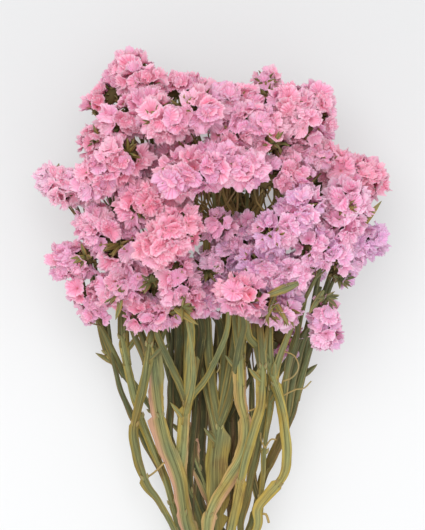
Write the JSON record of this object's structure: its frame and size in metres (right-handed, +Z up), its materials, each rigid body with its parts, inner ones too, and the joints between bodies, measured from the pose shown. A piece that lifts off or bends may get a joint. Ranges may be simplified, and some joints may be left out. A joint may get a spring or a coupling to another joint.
{
  "type": "dried statice bunch",
  "caption": "Tied bunch of dried statice lying on its side: winged green stems that fan out into a dome of papery pink and lilac flower heads.",
  "frame": {"origin": "on the surface that the bunch lies on, under the middle of its bounds", "axes": "+X across the bunch, +Y along the stems from their cut ends to the flowers, +Z up from the surface"},
  "size_m": [0.2576, 0.5042, 0.1485],
  "materials": {
    "calyx_pink": "papery, matt, warm pink with paler rims",
    "calyx_coral": "papery, matt, coral pink with paler rims",
    "calyx_lilac": "papery, matt, lilac pink with paler rims",
    "calyx_pale": "papery, matt, pink that fades to near white at the rims",
    "stem_green": "dry, matt, olive green with tan wings",
    "tie_twine": "rough, matt, natural jute"
  },
  "bodies": {
    "root": {"flower_spire": "calyx_pink", "flower_spire_right": "calyx_pink", "flower_crown_left": "calyx_pink", "flower_crown_right": "calyx_pink", "flower_finial": "calyx_pink", "flower_shoulder": "calyx_pink", "flower_corner": "calyx_pink", "flower_upper_left": "calyx_pink", "flower_left_brow": "calyx_pink", "flower_brow": "calyx_pink", "flower_upper_mid": "calyx_pink", "flower_upper_right": "calyx_pink", "flower_cheek": "calyx_pink", "flower_mid_left": "calyx_pink", "flower_far_left": "calyx_pale", "flower_ridge": "calyx_pink", "flower_tuft": "calyx_pink", "flower_far_right": "calyx_coral", "flower_rosette_right": "calyx_lilac", "flower_lilac_right": "calyx_lilac", "flower_lilac_mid": "calyx_lilac", "flower_lilac_high": "calyx_lilac", "flower_bud": "calyx_pink", "flower_saddle": "calyx_lilac", "flower_lilac_low": "calyx_lilac", "flower_coral_ball": "calyx_coral", "flower_skirt_right": "calyx_lilac", "flower_droop_right": "calyx_lilac", "flower_coral_bar": "calyx_coral", "flower_rosette_left": "calyx_pink", "flower_coral_left": "calyx_coral", "flower_low_left": "calyx_pink", "flower_droop_left": "calyx_pink", "flower_skirt_left": "calyx_pink", "flower_skirt_mid": "calyx_pink", "flower_skirt_low": "calyx_pink", "flower_skirt_gap": "calyx_lilac", "flower_purple_low": "calyx_lilac", "flower_under_left": "calyx_pink", "flower_under_low_left": "calyx_pink", "flower_under_mid_left": "calyx_pink", "flower_under_top_left": "calyx_pink", "flower_under_low_right": "calyx_lilac", "flower_under_mid": "calyx_lilac", "flower_under_top_right": "calyx_pink", "flower_under_right": "calyx_lilac", "stem_far_left": "stem_green", "stem_dark_left": "stem_green", "stem_light_left": "stem_green", "stem_tan_left": "stem_green", "stem_centre_left": "stem_green", "stem_broad": "stem_green", "stem_tan_front": "stem_green", "stem_loop": "stem_green", "stem_right": "stem_green", "stem_long_front": "stem_green", "stem_thin": "stem_green", "stem_hidden_left": "stem_green", "stem_hidden_right": "stem_green", "tie": "tie_twine"}
  },
  "joints": []
}
